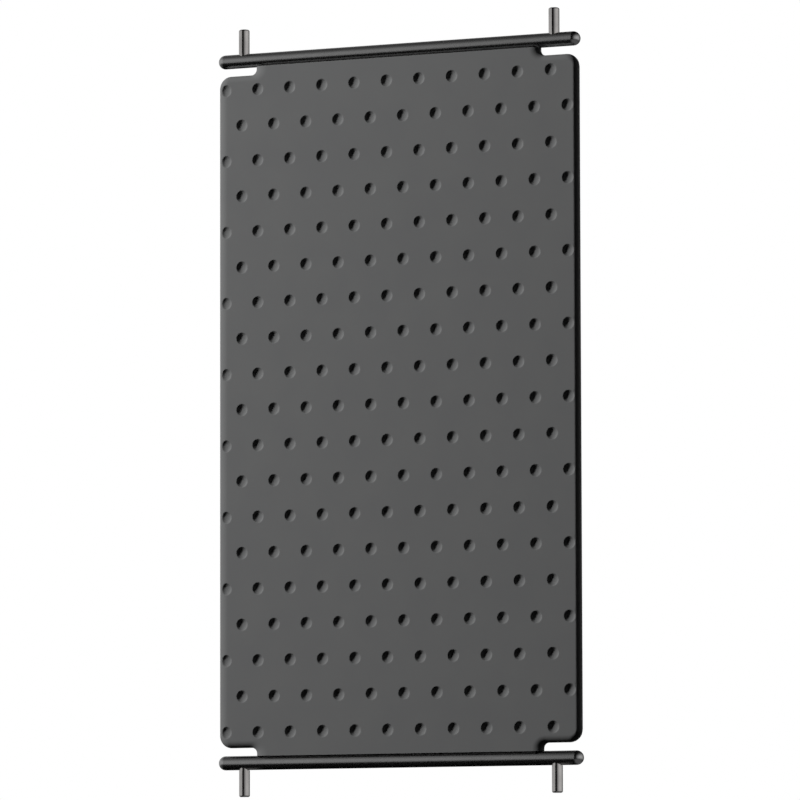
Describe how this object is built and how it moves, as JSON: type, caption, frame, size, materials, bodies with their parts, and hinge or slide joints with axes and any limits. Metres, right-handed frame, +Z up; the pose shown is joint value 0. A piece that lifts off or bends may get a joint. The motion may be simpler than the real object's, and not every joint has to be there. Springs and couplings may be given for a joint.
{
  "type": "dimpled display back panel",
  "caption": "Upright double-skin sheet steel panel with a dimpled face, a round cross bar at each end and plug-in pins that locate it in a display frame.",
  "frame": {"origin": "midway between the two lower pins, at the height of the bottom bar's underside and on the bar's axis plane", "axes": "+Z up along the panel's height, +X to the right along the bars, +Y to the rear, so the dimpled face looks to -Y"},
  "size_m": [0.282, 0.01, 0.5465],
  "materials": {
    "panel_paint": "satin powder coat, dark grey",
    "bar_paint": "satin metallic coat; its colour is uncertain, and it looks dark grey where its surroundings are dark",
    "pin_steel": "bright drawn steel, lightly polished",
    "inner_steel": "plain mill finish, hidden inside the panel"
  },
  "bodies": {
    "root": {"front_skin": "panel_paint", "back_skin": "panel_paint", "top_saddle": "inner_steel", "bottom_saddle": "inner_steel", "left_stiffener": "inner_steel", "centre_stiffener": "inner_steel", "right_stiffener": "inner_steel", "top_bar": "bar_paint", "bottom_bar": "bar_paint", "upper_left_pin": "pin_steel", "upper_right_pin": "pin_steel", "lower_left_pin": "pin_steel", "lower_right_pin": "pin_steel"}
  },
  "joints": []
}
